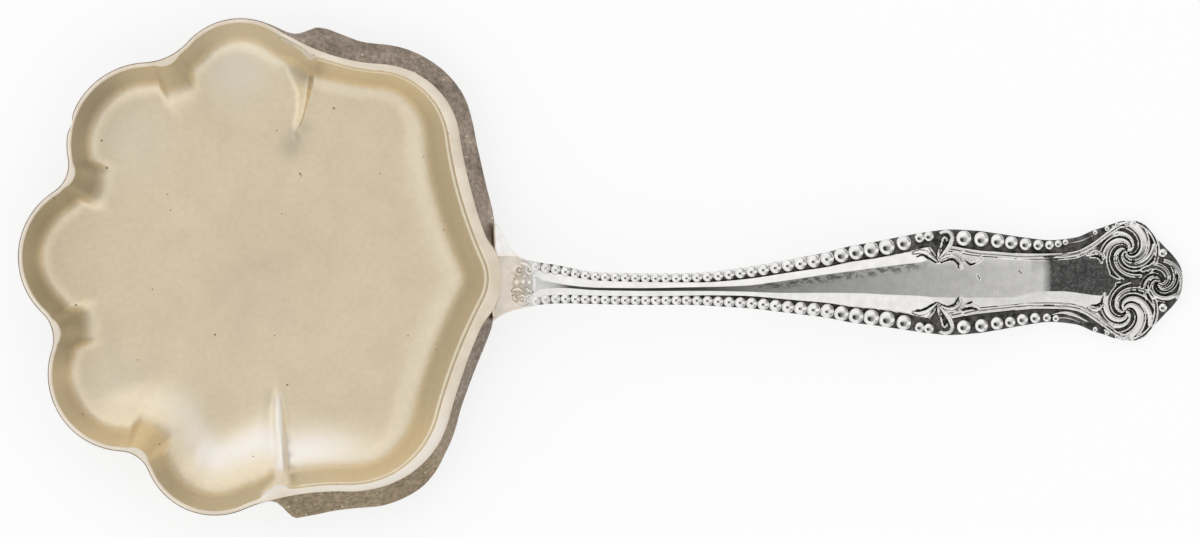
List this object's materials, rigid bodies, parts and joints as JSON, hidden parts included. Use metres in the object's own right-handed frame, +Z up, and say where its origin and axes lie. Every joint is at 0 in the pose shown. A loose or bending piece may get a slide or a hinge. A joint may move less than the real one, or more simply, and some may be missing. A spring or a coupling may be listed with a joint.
{
  "type": "bonbon spoon",
  "caption": "Small silver serving spoon with a shallow lobed bowl, a gilt lining and a struck handle with bead borders, leaves and end scrolls, for bonbons or nuts.",
  "frame": {"origin": "middle of the flat underside of the bowl, the face that the spoon rests on", "axes": "+X along the handle from the bowl to the tip, +Z up out of the bowl's mouth, +Y to the left when looking along the handle"},
  "size_m": [0.1273, 0.0543, 0.0081],
  "materials": {
    "tarnished_silver": "silver sheet with mottled tarnish",
    "gilt": "worn satin gold wash with small pits",
    "polished_silver": "polished silver with dark oxidised recesses",
    "solder": "filed hard solder"
  },
  "bodies": {
    "root": {"bowl": "tarnished_silver", "gold_wash": "gilt", "handle": "polished_silver", "solder_seam": "solder"}
  },
  "joints": []
}
